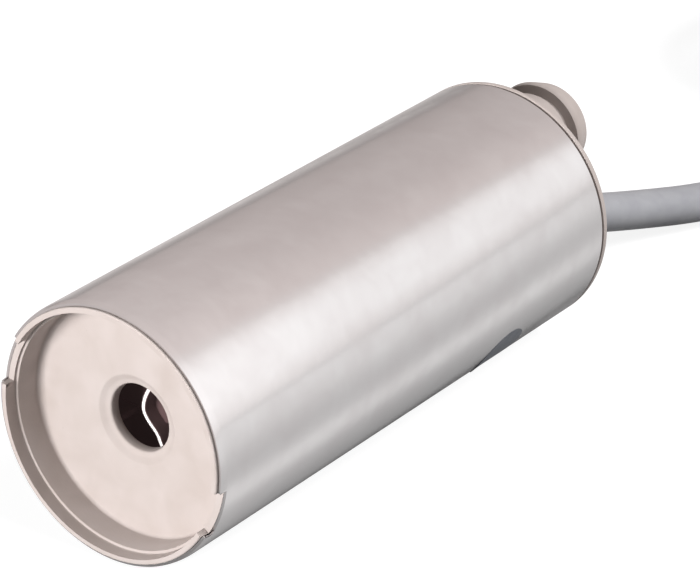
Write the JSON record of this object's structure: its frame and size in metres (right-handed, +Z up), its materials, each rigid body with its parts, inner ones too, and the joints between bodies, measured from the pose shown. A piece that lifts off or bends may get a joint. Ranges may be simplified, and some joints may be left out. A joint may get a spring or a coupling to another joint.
{
  "type": "submersible pump",
  "caption": "Slim submersible pump with a metal sleeve, notched inlet cap, inner impeller and sealed motor, barbed hose tail and a long two-core cable.",
  "frame": {"origin": "on the floor under the middle of the pump's length, as it lies on its side; the free cable is not counted", "axes": "+Y along the pump's axis from the inlet to the hose tail, +Z up, +X to the right as the inlet is seen"},
  "size_m": [0.069, 0.2463, 0.038],
  "materials": {
    "sleeve_steel": "satin",
    "cap_plastic": "moulded",
    "impeller_plastic": "moulded",
    "dark_plastic": "moulded",
    "black_rubber": "matte",
    "motor_steel": "satin",
    "bush_bronze": "sintered",
    "magnet_ferrite": "matte",
    "copper": "bare",
    "brush_carbon": "matte",
    "contact_brass": "bare",
    "resin": "poured",
    "cable_grey": "smooth",
    "tie_plastic": "moulded",
    "brown_insulation": "smooth",
    "blue_insulation": "smooth"
  },
  "bodies": {
    "housing": {"outer_sleeve": "sleeve_steel", "inlet_cap": "cap_plastic", "front_sealing_ring": "black_rubber", "guide_ring": "dark_plastic", "motor_pod": "dark_plastic", "shaft_seal": "black_rubber", "seal_retainer": "motor_steel", "motor_can": "motor_steel", "front_bush": "bush_bronze", "rear_bush": "bush_bronze", "motor_end_plate": "dark_plastic", "upper_magnet": "magnet_ferrite", "lower_magnet": "magnet_ferrite", "right_brush": "brush_carbon", "right_brush_arm": "contact_brass", "right_terminal": "contact_brass", "left_brush": "brush_carbon", "left_brush_arm": "contact_brass", "left_terminal": "contact_brass", "brown_lead": "brown_insulation", "blue_lead": "blue_insulation", "sealing_resin": "resin", "pod_plug": "dark_plastic", "outlet_cap": "cap_plastic", "rear_sealing_ring": "black_rubber", "cable_gland": "black_rubber", "cable_end_in_pump": "cable_grey", "cable_run": "cable_grey", "cable_coil": "cable_grey", "coil_tie": "tie_plastic", "brown_core": "brown_insulation", "brown_copper": "copper", "blue_core": "blue_insulation", "blue_copper": "copper"},
    "rotor": {"impeller": "impeller_plastic", "motor_shaft": "motor_steel", "rotor_core": "motor_steel", "rotor_windings": "copper", "commutator": "copper"}
  },
  "joints": [
    {"name": "rotor_spin", "type": "hinge", "parent": "housing", "child": "rotor", "pos_m": [0, -0.01725, 0.019], "axis": [0, 1, 0], "continuous": true}
  ]
}
